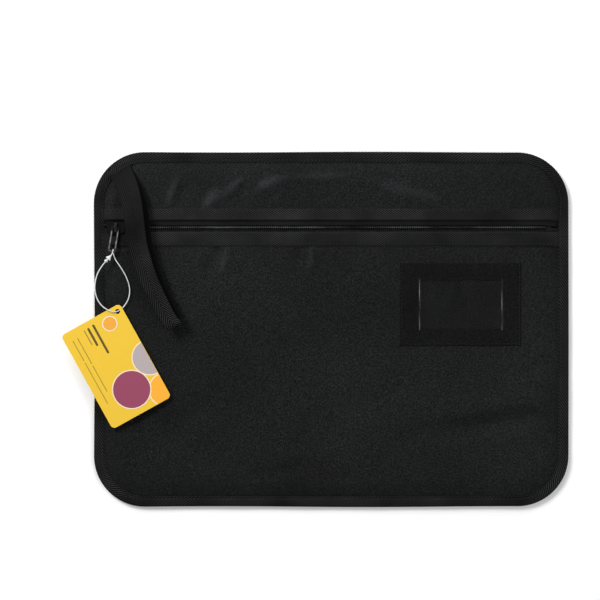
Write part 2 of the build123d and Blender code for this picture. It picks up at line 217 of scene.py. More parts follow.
def panel_material(name, low, high):
    """Coated woven polyester: a plain weave with slubs, a faint cool sheen, patches of random tone, and a
    bluish sheen painted on the raised fold crests.
    """
    shader = Shader(name, 0.5, 0.085, Sheen_Weight=0.02, Sheen_Roughness=0.4)
    height = weave(shader, 0.66)
    slub = shader.ramp(shader.noise(1450.0, 2.0, (0.6, 1.0, 1.0)), 0.33, 0.68)
    coarse = shader.ramp(shader.noise(1150.0, 1.0, (1.0, 0.6, 1.0)), 0.33, 0.68)
    patch = shader.ramp(shader.noise(9.0, 3.0), -0.2, 1.05)
    grain = shader.times(shader.plus(0.25, slub), shader.plus(0.35, coarse))
    share = shader.times(shader.plus(height, 0.15), grain)
    cloth_tone = shader.blend(shader.times(share, patch), low, high)
    # painted sheen: the fold crests are painted a lighter bluish grey, broken up by the slubs
    painted_fold_sheen = shader.times(shader.painted_light_mask(), shader.ramp(slub, -0.6, 1.4))
    shader.colour(shader.blend(painted_fold_sheen, cloth_tone, (0.068, 0.073, 0.084, 1.0)))
    shader.bump(shader.plus(height, shader.times(slub, 0.8)), 0.09, 0.9)
    shader.put(shader.body.inputs["Roughness"], shader.ramp(share, 8.0, -0.8))
    return shader.material


def tape_material(name, low, high, sheen=0.02):
    """Woven tape: its ribs are in the mesh, and its threads and fuzz are here; its colour is painted lighter
    on the rib crests and darker in the grooves, as painted highlight and shade.
    """
    shader = Shader(name, 0.66, 0.045, Sheen_Weight=sheen, Sheen_Roughness=0.45)
    thread = weave(shader, 0.34)
    fuzz = shader.noise(2200.0, 3.0)
    # painted highlight on the rib crests and painted shade in the grooves
    crest = shader.math("POWER", shader.painted_light_mask(), 2.6)
    share = shader.times(crest, shader.plus(0.5, fuzz))
    patch = shader.ramp(shader.noise(30.0, 3.0), 0.1, 0.9)
    shader.colour(shader.blend(shader.times(share, patch), low, high))
    shader.bump(shader.plus(thread, fuzz), 0.05, 0.7)
    return shader.material


def thread_material():
    """Twisted polyester sewing thread."""
    shader = Shader("sewing_thread", 0.5, 0.1, Sheen_Weight=0.03)
    twist = shader.node("ShaderNodeTexWave", bands_direction="DIAGONAL")
    twist.inputs["Scale"].default_value = 900.0
    shader.put(twist.inputs["Vector"], shader.place)
    tone = shader.blend(twist.outputs["Fac"], grey(0.003), grey(0.016, 0.05))
    shader.colour(tone)
    shader.bump(twist.outputs["Fac"], 0.05)
    return shader.material


def coil_material():
    """Black nylon monofilament, smooth enough for small glints, with glints also painted light grey along
    the bead line where the loops cross.
    """
    shader = Shader("nylon_coil", 0.3, 0.1)
    streak = shader.noise(300.0, 3.0, (0.3, 1.0, 1.0))
    stretch = shader.ramp(shader.noise(26.0, 2.0, (1.0, 0.1, 0.1)), 0.32, 0.62)
    # painted glints: the bead-line mask, broken up by streaks and stretches, sets a light grey colour and
    # the specular
    wear_and_glint = shader.times(shader.painted_light_mask(), shader.ramp(streak, 0.2, 0.7))
    wear_and_glint = shader.times(wear_and_glint, stretch)
    shader.colour(shader.blend(wear_and_glint, grey(0.0015), grey(0.2, 0.04)))
    shader.put(shader.body.inputs["Specular IOR Level"], shader.times(wear_and_glint, 0.7))
    shader.bump(streak, 0.02, 0.4)
    return shader.material


def slider_material():
    """Dark plated metal, with highlights painted brighter on its raised faces, in random worn patches."""
    shader = Shader("plated_slider", 0.4, 0.3, Metallic=0.6)
    height = shader.ramp(shader.axes()[2], 0.0098, 0.0124)
    wear_and_glint = shader.noise(420.0, 5.0)
    # painted highlight: the higher the face, the brighter it is painted
    raised_highlight = shader.plus(shader.times(height, 0.3), 0.02)
    share = shader.times(shader.ramp(wear_and_glint, 0.3, 0.75), raised_highlight)
    shader.colour(shader.blend(share, grey(0.002), grey(0.1)))
    shader.put(shader.body.inputs["Roughness"], shader.ramp(wear_and_glint, -1.2, 3.0))
    shader.bump(shader.noise(1500.0, 3.0), 0.02, 0.4)
    return shader.material


def stop_nylon():
    """Black moulded nylon, rubbed lighter in random spots."""
    shader = Shader("moulded_stop", 0.5, 0.08)
    wear_and_glint = shader.ramp(shader.noise(900.0, 4.0), 0.4, 0.75)
    shader.colour(shader.blend(wear_and_glint, grey(0.002), grey(0.02)))
    shader.bump(wear_and_glint, 0.02, 0.4)
    return shader.material


def pull_material():
    """Dark metal with highlights painted bright along the tops of its rails, between their ends, over a dark
    sunken web.
    """
    shader = Shader("pull_with_painted_highlight", 0.34, 0.5, Metallic=0.7)
    # painted highlight: the rail tops, higher than the web, are painted bright, with random wear in the
    # brightness
    height = shader.ramp(shader.axes()[2], 0.01085, 0.01105)
    wear_and_glint = shader.noise(500.0, 5.0)
    bright = shader.blend(shader.ramp(wear_and_glint, 0.3, 0.75), grey(0.05), grey(0.34))
    upper_end = shader.ramp(shader.axes()[1], 0.0805, 0.0775)
    lower_end = shader.ramp(shader.axes()[1], 0.0625, 0.0655)
    height = shader.times(height, shader.times(upper_end, lower_end))
    shader.colour(shader.blend(height, grey(0.006), bright))
    shader.put(shader.body.inputs["Roughness"], shader.ramp(wear_and_glint, -1.0, 2.2))
    shader.bump(shader.noise(1800.0, 2.0), 0.02, 0.4)
    return shader.material


def nylon_material():
    """Milky clear nylon."""
    shader = Shader("clear_nylon", 0.28, 0.5, IOR=1.53, Transmission_Weight=0.25)
    cloud = shader.noise(260.0, 3.0)
    shader.colour(shader.blend(cloud, (0.62, 0.63, 0.62, 1.0), (0.86, 0.87, 0.86, 1.0)))
    shader.bump(cloud, 0.03, 0.4)
    return shader.material


def film_material():
    """Thin clear film over the dark pocket, with glints painted light grey and more opaque along the creases
    by its left and right edges.
    """
    shader = Shader("clear_film", 0.2, 0.22, Alpha=0.24)
    ripple = shader.noise(60.0, 3.0, (1.0, 0.25, 1.0))
    scuff = shader.ramp(shader.noise(170.0, 5.0, (1.0, 0.3, 1.0)), 0.3, 0.75)
    dust = shader.blend(shader.times(scuff, ripple), grey(0.007), grey(0.03, 0.1))
    # painted glint along the curled edges, in light grey
    crease_glint = shader.times(shader.painted_light_mask(), shader.plus(0.35, scuff))
    shader.colour(shader.blend(crease_glint, dust, grey(0.3)))
    shader.put(shader.body.inputs["Alpha"], shader.plus(0.24, crease_glint))
    shader.put(shader.body.inputs["Roughness"], shader.ramp(ripple, -0.2, 4.0))
    shader.bump(ripple, 0.15, 0.3)
    return shader.material


def print_material(name, colour, roughness=0.42):
    """Ink or coated card stock, with its slight mottle."""
    shader = Shader(name, roughness, 0.4, Coat_Weight=0.12, Coat_Roughness=0.3)
    mottle = shader.noise(700.0, 4.0)
    darker = tuple(0.93 * part for part in colour[:3]) + (1.0,)
    shader.colour(shader.blend(mottle, darker, colour))
    shader.bump(shader.noise(2600.0, 2.0), 0.012, 0.5)
    return shader.material


def floor_material():
    shader = Shader("pale_floor", 0.75, 0.15)
    shader.colour(shader.blend(shader.noise(6.0), grey(0.90), grey(0.93)))
    return shader.material


# ---- meshes ----
def face_outward(made, weld=False):
    """Turn a closed mesh's faces outward, and first join points at one place where weld is set."""
    work = bmesh.new()
    work.from_mesh(made.data)
    if weld:
        bmesh.ops.remove_doubles(work, verts=work.verts, dist=1e-6)
    bmesh.ops.recalc_face_normals(work, faces=work.faces)
    work.to_mesh(made.data)
    work.free()


def make_mesh(name, points, faces, material, painted_light_mask=None, smooth=True):
    """An object from points in millimetres, with a mask of painted light as an attribute: on tapes the
    height of their woven ribs, painted lighter on the crests; on the panels, the coil and the film, the
    places where sheen and glints are painted.
    """
    mesh = bpy.data.meshes.new(name)
    mesh.from_pydata((np.asarray(points, float).reshape(-1, 3) * MM).tolist(), [], faces)
    mesh.materials.append(material)
    if painted_light_mask is not None:
        layer = mesh.attributes.new("painted_light_mask", "FLOAT", "POINT")
        layer.data.foreach_set("value", np.asarray(painted_light_mask, np.float32).ravel())
    mesh.polygons.foreach_set("use_smooth", [smooth] * len(mesh.polygons))
    return add_object(name, mesh)


def quads(rows, columns, first=0, flip=False, loop=False):
    """The faces of a grid of points, which closes on itself along the rows where loop is set."""
    grid = np.arange(rows * columns).reshape(rows, columns) + first
    if loop:
        grid = np.vstack([grid, grid[:1]])
    corners = [grid[:-1, :-1], grid[1:, :-1], grid[1:, 1:], grid[:-1, 1:]]
    if flip:
        corners.reverse()
    return np.stack([c.ravel() for c in corners], 1)


def cloth(name, top, under, material, painted_light_mask=None, loop=False):
    """A closed sheet between two grids of points, outer face first."""
    rows, columns, _ = top.shape
    count = rows * columns
    parts = [quads(rows, columns, 0, False, loop), quads(rows, columns, count, True, loop)]
    line = np.arange(rows)
    ends = [line * columns, line * columns + columns - 1]
    if loop:
        ends = [np.append(end, end[0]) for end in ends]
    else:
        across = np.arange(columns)
        ends += [across, across + (rows - 1) * columns]
    for side, end in enumerate(ends):
        a, b = end[:-1], end[1:]
        wall = np.stack([a, b, b + count, a + count], 1)
        if side in (0, 3):
            wall = wall[:, ::-1]
        parts.append(wall)
    points = np.concatenate([top.reshape(-1, 3), under.reshape(-1, 3)])
    if painted_light_mask is not None:
        painted_light_mask = np.concatenate([painted_light_mask.ravel(), painted_light_mask.ravel() * 0.5])
    made = make_mesh(name, points, np.concatenate(parts).tolist(), material, painted_light_mask)
    face_outward(made)
    return made


def ring_faces(rows, sides, capped=False):
    """The faces between rings of points, with a face on each end where capped is set."""
    faces = []
    for row in range(rows - 1):
        for column in range(sides):
            a = row * sides + column
            b = row * sides + (column + 1) % sides
            faces.append((a, b, b + sides, a + sides))
    if capped:
        last = (rows - 1) * sides
        faces += [tuple(reversed(range(sides))), tuple(range(last, last + sides))]
    return faces


def unit(ways):
    """The same directions, each one unit long."""
    return ways / np.linalg.norm(ways, axis=-1, keepdims=True)


def profile_frame(profile):
    """How far along a profile each of its points is, and the way it faces there."""
    step = unit(np.gradient(profile, axis=0))
    far = np.concatenate([[0.0], np.cumsum(np.hypot(*np.diff(profile, axis=0).T))])
    return far[None, :], np.stack([-step[:, 1], step[:, 0]], 1)


def stack(x, y, z):
    """Points from their coordinates."""
    x, y, z = np.broadcast_arrays(x, y, z)
    return np.stack([x, y, z], -1).astype(float)


def ease(value):
    """A smooth step from 0 to 1."""
    value = np.clip(value, 0.0, 1.0)
    return value * value * (3 - 2 * value)


def rounded_path(half_x, half_y, radius, step):
    """Evenly spaced points round a rounded rectangle, their outward directions and their spacing."""
    flat_x = 2 * (half_x - radius)
    flat_y = 2 * (half_y - radius)
    arc = math.pi / 2 * radius
    total = 2 * flat_x + 2 * flat_y + 4 * arc
    count = round(total / step)
    points = np.zeros((count, 2))
    outward = np.zeros((count, 2))
    sides = [(flat_x, 0), (flat_y, 1), (flat_x, 2), (flat_y, 3)]
    for index in range(count):
        left = index * total / count
        for flat, side in sides:
            turn = math.radians(90 * side)
            way = np.array([math.cos(turn), math.sin(turn)])
            out = np.array([way[1], -way[0]])
            middle = np.array([half_x - radius, half_y - radius])
            start = out * middle - way * middle
            if left < flat:
                points[index] = start + out * radius + way * left
                outward[index] = out
                break
            left -= flat
            if left < arc:
                angle = left / radius
                outward[index] = out * math.cos(angle) + way * math.sin(angle)
                points[index] = start + way * flat + outward[index] * radius
                break
            left -= arc
    return points, outward, total / count


# ---- shape of the bag ----
BAG_X, BAG_Y = span("edge_binding")[1][:2]
CORNER = 42.0
BINDING = 8.5
INNER_X = BAG_X - BINDING
INNER_Y = BAG_Y - BINDING
INNER_R = CORNER - BINDING
FRONT = span("front_panel_lower")[1][2]
TUCK = 4.0
FACE = FRONT - 0.1
EDGE_HEIGHT = 2.9
LOWER_EDGE = span("front_panel_lower")[1][1]
FACING_LOW, FACING_HIGH = span("zip_facing_lower")
YOKE_LOW, YOKE_HIGH = span("zip_facing_upper")
YOKE_EDGE = 93.2
STITCH_INSET = 1.6
ZIP_Y = (span("zip_coil_lower")[1][1] + span("zip_coil_upper")[0][1]) / 2
POCKET_LOW, POCKET_HIGH = span("id_pocket_frame")
POCKET = (POCKET_LOW + POCKET_HIGH) / 2
# x, y, angle, half length, half width, height: soft puckers and dents of the front
FOLDS = [
    (-129.5, 109.0, 66.0, 11.0, 3.4, 0.8),
    (-121.0, 108.0, 70.0, 10.0, 3.0, -0.9),
    (-98.0, 105.5, 60.0, 9.0, 3.2, 0.8),
    (-79.5, 116.0, 40.0, 12.0, 3.6, 0.8),
    (-70.0, 112.0, 48.0, 11.0, 4.0, -0.9),
    (-54.5, 117.5, 20.0, 16.0, 3.8, 0.8),
    (-0.4, 127.0, 6.0, 22.0, 3.6, 0.7),
    (62.0, 112.0, -12.0, 30.0, 5.0, 0.5),
    (173.0, 119.8, -50.0, 12.0, 6.0, -1.6),
    (-94.8, 56.9, 70.0, 10.0, 3.4, -1.2),
    (-88.0, 55.0, 72.0, 10.0, 3.2, 0.7),
    (-26.2, 58.5, 78.0, 11.0, 3.6, -1.1),
    (-18.0, 57.0, 80.0, 12.0, 3.6, 0.6),
    (118.0, -78.0, 8.0, 36.0, 6.5, -2.0),
    (150.0, -72.0, 10.0, 26.0, 5.0, -1.3),
    (126.0, -64.0, 8.0, 40.0, 7.0, 0.6),
    (166.6, -29.5, 40.0, 10.0, 4.5, -1.2),
    (-37.5, -113.4, 14.0, 20.0, 5.0, -1.1),
    (2.8, -121.5, 4.0, 24.0, 4.6, -1.0),
    (-20.0, -104.0, 8.0, 34.0, 6.0, 0.6),
    (-110.0, -96.0, -30.0, 34.0, 9.0, -1.0),
    (-60.0, -20.0, -58.0, 48.0, 12.0, 0.3),
    (-111.0, -69.0, 38.0, 20.0, 8.0, -1.2),
    (20.0, -62.0, 28.0, 44.0, 10.0, -0.7),
    (-160.0, -60.0, -82.0, 40.0, 7.0, -0.8),
]


def inside(x, y):
    """How far a point is inside the binding's inner edge."""
    over_x = np.abs(x) - (INNER_X - INNER_R)
    over_y = np.abs(y) - (INNER_Y - INNER_R)
    corner = np.hypot(np.maximum(over_x, 0), np.maximum(over_y, 0))
    return INNER_R - corner - np.minimum(np.maximum(over_x, over_y), 0)


def folds(x, y):
    """The height of the cloth's slack: low waves and the puckers and dents."""
    height = 0.16 * np.sin(x / 23 + 1.3) * np.sin(y / 19 + 0.4)
    height = height + 0.1 * np.sin(x / 9.0 + y / 15.0) + 0.07 * np.sin(x / 6.1 - y / 7.7 + 2.0)
    for centre_x, centre_y, angle, length, width, rise in FOLDS:
        turn = math.radians(angle)
        along = (x - centre_x) * math.cos(turn) + (y - centre_y) * math.sin(turn)
        across = (y - centre_y) * math.cos(turn) - (x - centre_x) * math.sin(turn)
        height = height + 1.5 * rise * np.exp(-((along / length) ** 2 + (across / width) ** 2) / 2)
    return height


def face_height(x, y):
    """The outer face of the front panels."""
    depth = inside(x, y)
    near_zip = 1 - ease((np.abs(y - ZIP_Y) - 14.0) / 24.0)
    reach = 19.0 - 9.0 * near_zip
    share = np.clip(depth / reach, 0.0, 1.0)
    rise = 1 - (1 - share) ** 2.2
    near_pocket = np.maximum(np.abs(x - POCKET[0]) - 49.0, np.abs(y - POCKET[1]) - 33.5)
    free = ease(near_pocket / 16.0) * ease((np.abs(y - ZIP_Y) - 10.0) / 9.0) * share
    side = np.exp(-np.maximum(depth, 0.0) / 7.0) * ease(depth / 3.0)
    ripple = 0.3 * np.sin(0.52 * x + 1.6 * np.sin(0.045 * x)) + 0.3 * np.sin(0.55 * y)
    crown = 0.5 * share * np.cos(np.clip(x / INNER_X, -1, 1) * math.pi / 2)
    return EDGE_HEIGHT + (FACE - EDGE_HEIGHT) * rise + free * (folds(x, y) + crown) + side * ripple


def half_width(y):
    """Half the cloth's width at y, with its hems under the binding."""
    radius = INNER_R + TUCK
    over = np.maximum(np.abs(y) - (INNER_Y + TUCK - radius), 0.0)
    return INNER_X + TUCK - radius + np.sqrt(np.maximum(radius**2 - over**2, 0.0))


def row_places(low, high, step):
    """The rows of a panel, closer together where its outline turns."""
    radius = INNER_R + TUCK
    straight = INNER_Y + TUCK - radius
    turn = np.linspace(0, math.pi / 2, 30)
    cap = straight + radius * np.sin(turn)
    if low < 0:
        flat = np.arange(-straight, high, step)
        return np.concatenate([-cap[::-1], flat[1:], [high]])
    flat = np.arange(low, straight, step)
    return np.concatenate([flat, cap])


def make_panel(name, node, low, high, material):
    """A front panel: one sheet that rises out of the binding and bends under its own slack."""
    y = row_places(low, high, 1.3)[:, None]
    x = half_width(y) * np.linspace(-1, 1, 290)[None, :]
    z = face_height(x, y + 0 * x)
    # painted sheen: where the folds rise highest, away from the binding, fading out below y = 30 mm
    painted_fold_sheen = 0.42 * np.clip(folds(x, y) - 0.4, 0.0, 1.0) * ease((inside(x, y + 0 * x) - 6.0) / 8.0)
    painted_fold_sheen = painted_fold_sheen * ease((y - 30.0) / 20.0)
    made = cloth(name, stack(x, y, z), stack(x, y, z - 0.5), material, painted_fold_sheen)
    finish(made, "root", node)
    return made


def finish(made, body, node=None):
    """Parent a piece to the body it moves with, and hide the CAD node it replaces."""
    if body:
        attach(made, body)
    if node:
        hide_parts(node)
    return made


def make_back(material):
    """The back panel, flat on whatever the bag lies on, with its edge lifted into the binding."""
    reach_y = INNER_Y + TUCK
    y = reach_y * np.sin(np.linspace(-math.pi / 2, math.pi / 2, 90)[:, None])
    x = half_width(y) * np.linspace(-1, 1, 150)[None, :]
    z = 0.75 + 0.3 * (1 - ease(inside(x, y + 0 * x) / 6.0)) + 0.08 * np.sin(x / 11) * np.sin(y / 13)
    made = cloth("back_sheet", stack(x, y, z + 0.2), stack(x, y, z - 0.3), material)
    finish(made, "root", "back_panel")


# ---- edge binding, and the twill ribs that the tapes share ----
RIB = 2.9
RIB_SLANT = 1.35
FACING_RIB = 2.4


def twill(along, across, pitch, slant):
    """The height of diagonal ribs, from 0 to 1."""
    return 0.5 + 0.5 * np.sin(2 * math.pi * (along + slant * across) / pitch)


# where the outer fold passes the middle of the strap's seam
STRAP_SEAM = (-174.3, 136.1)


def binding_profile():
    """Distance in from the outer fold and height, from the under edge round to the upper edge."""
    under = [(e, 0.12) for e in np.linspace(BINDING, 1.6, 8)]
    fold = []
    for angle in np.linspace(-75, 75, 7):
        turn = math.radians(angle)
        fold.append((1.6 - 1.5 * math.cos(turn), 1.9 + 1.75 * math.sin(turn)))
    upper = []
    for e in np.linspace(1.9, BINDING + 0.3, 20):
        share = (e - 1.9) / (BINDING - 1.6)
        height = 3.65 + 0.35 * math.sin(math.pi * min(share * 1.1, 1.0))
        height -= 0.3 * math.exp(-(((e - (BINDING - 1.6)) / 0.7) ** 2))
        upper.append((e, height))
    return np.array(under + fold + upper)


def bow(points):
    """The cut edge isn't quite straight: it wanders in by up to a millimetre."""
    x, y = points[:, 0], points[:, 1]
    return 0.35 + 0.35 * np.sin(x / 37.0 + 0.8) * np.cos(y / 41.0 + 0.3)


def make_binding(material):
    """The tape folded round the whole edge, with ribs, slack and a lift over the strap."""
    profile = binding_profile()
    points, outward, spacing = rounded_path(BAG_X, BAG_Y, CORNER, RIB / 7)
    slack = bow(points)[:, None]
    along = (np.arange(len(points)) * spacing)[:, None]
    rows, normal = profile_frame(profile)
    total = spacing * len(points)
    pitch = total / round(total / RIB)
    ribs = twill(along, rows, pitch, -RIB_SLANT)
    proud = 0.22 * ribs - 0.11
    e = profile[None, :, 0] + proud * normal[None, :, 0] + slack * np.exp(-profile[None, :, 0] / 4)
    z = profile[None, :, 1] + proud * normal[None, :, 1]
    top_ply = profile[None, :, 1] > 3.0
    z = z + 0.12 * np.sin(along / 9.0) * top_ply
    seam = np.hypot(points[:, :1] - STRAP_SEAM[0], points[:, 1:] - STRAP_SEAM[1])
    lift = 1.5 * (1 - ease((seam - 9.0) / 7.0)) * ease(profile[None, :, 0] / BINDING) * top_ply
    z = z + lift
    x = points[:, :1] - outward[:, :1] * e
    y = points[:, 1:] - outward[:, 1:] * e
    thick = 0.5
    inner_e = profile[None, :, 0] - thick * normal[None, :, 0] + slack * np.exp(-profile[None, :, 0] / 4)
    inner_z = profile[None, :, 1] - thick * normal[None, :, 1] + lift
    under_x = points[:, :1] - outward[:, :1] * inner_e
    under_y = points[:, 1:] - outward[:, 1:] * inner_e
    top = stack(x, y, np.maximum(z, 0.0))
    # the rib heights go along as the mask of the binding's painted highlight and shade
    made = cloth("binding_tape", top, stack(under_x, under_y, inner_z), material, ribs, loop=True)
    finish(made, "root", "edge_binding")


# ---- stitches: each row's pitch, and its stitches' length ----
EDGE_STITCH_PITCH = 3.3
EDGE_STITCH = 2.5
EDGE_STITCH_HEIGHT = 3.86
FACING_STITCH_PITCH = 3.2
FACING_STITCH = 2.4
FACING_STITCHES = 56
POCKET_STITCH_PITCH = 3.1
POCKET_STITCH = 2.3


def capsule():
    """A stitch one unit long, with round ends: its points and faces."""
    rings = [(-0.5, 0.0), (-0.44, 0.6), (-0.3, 1.0), (0.0, 1.08), (0.3, 1.0), (0.44, 0.6), (0.5, 0.0)]
    sides = 6
    points = []
    for along, radius in rings:
        for side in range(sides):
            turn = 2 * math.pi * side / sides
            points.append((along, radius * math.cos(turn), radius * math.sin(turn)))
    return np.array(points), np.array(ring_faces(len(rings), sides))


def make_stitches(name, places, ways, length, material, thick=0.24):
    """One stitch at each place, lying along its way."""
    shape, faces = capsule()
    points = []
    for place, way in zip(places, ways):
        way = unit(way)
        side = unit(np.cross((0, 0, 1), way))
        up = np.cross(way, side)
        local = shape * (length, thick, thick * 0.8)
        points.append(place + local[:, :1] * way + local[:, 1:2] * side + local[:, 2:] * up)
    shifted = [faces + index * len(shape) for index in range(len(points))]
    return make_mesh(name, np.concatenate(points), np.concatenate(shifted).tolist(), material)


def make_edge_stitches(material):
    inset = BINDING - STITCH_INSET
    half_x, half_y, radius = BAG_X - inset, BAG_Y - inset, CORNER - inset
    points, outward, _ = rounded_path(half_x, half_y, radius, EDGE_STITCH_PITCH)
    places = stack(points[:, 0], points[:, 1], EDGE_STITCH_HEIGHT)
    ways = stack(-outward[:, 1], outward[:, 0], 0.0)
    made = make_stitches("edge_stitches", places, ways, EDGE_STITCH, material)
    finish(made, "root", "edge_thread")


# ---- zip band ----
FACING_THICK = 0.45
TAPE_THICK = 0.4
COIL_PITCH = 1.6
COIL_WIRE = 0.3


def end_drop(x):
    """How much the strips of the zip dip at their ends, where they go under the binding."""
    share = np.clip((INNER_X - np.abs(x)) / 9.0, 0.0, 1.0)
    return (FACE - EDGE_HEIGHT) * (1 - share) ** 2.0


def make_strip(name, x, profile, thick, material, ribbed=0.0):
    """A strip along the zip, from the Y and Z of its profile and the slant of its ribs."""
    rows, normal = profile_frame(profile)
    if normal[:, 1].sum() < 0:
        normal = -normal
    along = x[:, None]
    ribs = twill(along, rows, FACING_RIB, ribbed) if ribbed else 0.5 + 0.0 * (along + rows)
    proud = 0.24 * ribs - 0.12
    wave = 0.14 * np.sin(along / 13.0 + 0.7) + 0.1 * np.sin(along / 5.3)
    lift = -end_drop(along) + (wave * ease(rows / 3.0) * 0.6 if ribbed else 0.0)
    y = profile[None, :, 0] + proud * normal[None, :, 0]
    z = profile[None, :, 1] + proud * normal[None, :, 1] + lift
    under_y = profile[None, :, 0] - thick * normal[None, :, 0] + 0 * along
    under_z = profile[None, :, 1] - thick * normal[None, :, 1] + lift
    # the rib heights go along as the mask of the strip's painted highlight and shade
    return cloth(name, stack(along, y, z), stack(along, under_y, under_z), material, ribs)


def facing_profile(edge, mouth, side):
    """Flat from the outer edge, round the fold at the mouth and down its leg."""
    top = FACING_HIGH[2] - 0.08
    flat = np.linspace(edge, mouth + side * 1.2, 18)
    points = [(edge, top - 0.5)] + [(y, top) for y in flat]
    points[1] = (edge - side * 0.12, top - 0.15)
    for angle in (25, 50, 75):
        turn = math.radians(angle)
        points.append((mouth + side * (1.2 - 1.1 * math.sin(turn)), top - 1.1 * (1 - math.cos(turn))))
    points.append((mouth + side * 0.1, top - 1.5))
    result = np.array(points)
    line = edge - side * STITCH_INSET
    result[:, 1] -= 0.22 * np.exp(-(((result[:, 0] - line) / 0.7) ** 2))
    return result


def blend_half(made, left):
    """Bake the piece's placement into its points; both halves are treated alike."""
    if left:
        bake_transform(made)
    else:
        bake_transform(made)


def make_mouth(side, materials):
    """One side of the zip's mouth: its facing, stitches, tape and coil, each in two halves."""
    word = "lower" if side < 0 else "upper"
    low, high = (FACING_LOW, FACING_HIGH) if side < 0 else (YOKE_LOW, YOKE_HIGH)
    edge, fold = (low[1], high[1]) if side < 0 else (high[1], low[1])
    profile = facing_profile(edge, fold, side)
    tape_low, tape_high = span(f"zip_tape_{word}")
    inner, outer = (tape_high[1], tape_low[1]) if side < 0 else (tape_low[1], tape_high[1])
    tape = stack(np.linspace(outer, inner, 12), tape_high[2], 0)[:, :2]
    for left in (True, False):
        half = "left" if left else "right"
        start, end = (-INNER_X - 1.5, 0.0) if left else (0.0, INNER_X + 1.5)
        x = np.linspace(start, end, 640)
        name, cloth_of = f"facing_{word}_{half}", materials["facing"]
        facing = make_strip(name, x, profile, FACING_THICK, cloth_of, -RIB_SLANT)
        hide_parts(f"zip_facing_{word}")
        blend_half(facing, left)
        coarse = np.linspace(start, end, 160)
        band = make_strip(f"tape_{word}_{half}", coarse, tape, TAPE_THICK, materials["tape"])
        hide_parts(f"zip_tape_{word}")
        blend_half(band, left)
        line = edge - side * STITCH_INSET
        at = (np.arange(FACING_STITCHES) + 0.5) * FACING_STITCH_PITCH * (-1 if left else 1)
        places = stack(at, line, FACING_HIGH[2] + 0.02 - end_drop(at))
        ways = stack(np.ones(len(at)), 0.0, np.gradient(-end_drop(at), at))
        name = f"stitches_{word}_{half}"
        stitch = make_stitches(name, places, ways, FACING_STITCH, materials["thread"])
        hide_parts(f"facing_thread_{word}")
        blend_half(stitch, left)
        make_coil(side, word, left, materials["coil"])


def make_coil(side, word, left, material):
    """Half of one side's chain: a wound filament whose loops cross the centre line."""
    low, high = span(f"zip_coil_{word}")
    first, last = (low[0] + 0.6, 0.0) if left else (0.0, high[0] - 0.6)
    turns = int((last - first) / COIL_PITCH)
    first = last - turns * COIL_PITCH if left else first
    steps = 12
    turn = np.arange(turns * steps + 1) / steps
    angle = 2 * math.pi * turn
    middle_y = ZIP_Y + side * 0.72
    swing = 1.22
    height = (high[2] - low[2]) / 2 - 0.32
    x = first + (turn + 0.25 * (1 + side) + 0.1 * np.sin(2 * angle)) * COIL_PITCH
    y = middle_y - side * swing * np.cos(angle)
    z = (low[2] + high[2]) / 2 + height * np.sin(angle) + 0.18 * np.cos(2 * angle)
    line = stack(x, y, np.minimum(z, high[2] - COIL_WIRE))
    # painted glints: lighter along the bead line just off the centre and on the loops' upper half
    wear_and_glint = np.exp(-(((y - ZIP_Y - 0.6) / 0.5) ** 2)) * ease(np.sin(angle) + 0.4)
    half = "left" if left else "right"
    made = make_tube(f"coil_{word}_{half}", line, COIL_WIRE, material, 7, wear_and_glint)
    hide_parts(f"zip_coil_{word}")
    blend_half(made, left)


def make_tube(name, line, radius, material, sides=8, painted_light_mask=None):
    """A round tube along a line of points, closed at both ends."""
    way = unit(np.gradient(line, axis=0))
    side = unit(np.cross(way, (0.3, 0.2, 1.0)))
    up = np.cross(side, way)
    turn = 2 * math.pi * np.arange(sides) / sides
    ring = np.cos(turn)[None, :, None] * side[:, None] + np.sin(turn)[None, :, None] * up[:, None]
    points = (line[:, None] + radius * ring).reshape(-1, 3)
    if painted_light_mask is not None:
        painted_light_mask = np.repeat(painted_light_mask, sides)
    return make_mesh(name, points, ring_faces(len(line), sides, True), material, painted_light_mask)


def make_stop(node, left, material):
    """A stop at the end of the chain: a rounded block with a groove across its back."""
    low, high = span(node)
    centre = (low + high) / 2
    half = (high - low) / 2
    rows, sides = 15, 32
    tilt = np.linspace(-math.pi / 2, math.pi / 2, rows)[:, None]
    turn = 2 * math.pi * np.arange(sides)[None, :] / sides
    power = 0.4
    flat = np.abs(np.cos(tilt)) ** power
    x = flat * np.sign(np.cos(turn)) * np.abs(np.cos(turn)) ** power
    y = flat * np.sign(np.sin(turn)) * np.abs(np.sin(turn)) ** power
    z = np.sign(np.sin(tilt)) * np.abs(np.sin(tilt)) ** power + 0 * turn
    z = z - 0.16 * np.exp(-((x / 0.22) ** 2)) * (z > 0.5)
    points = centre + half * stack(x, y, z)
    made = make_mesh(f"stop_{node[4:]}", points, ring_faces(rows, sides), material)
    face_outward(made, weld=True)
    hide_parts(node)
    blend_half(made, left)


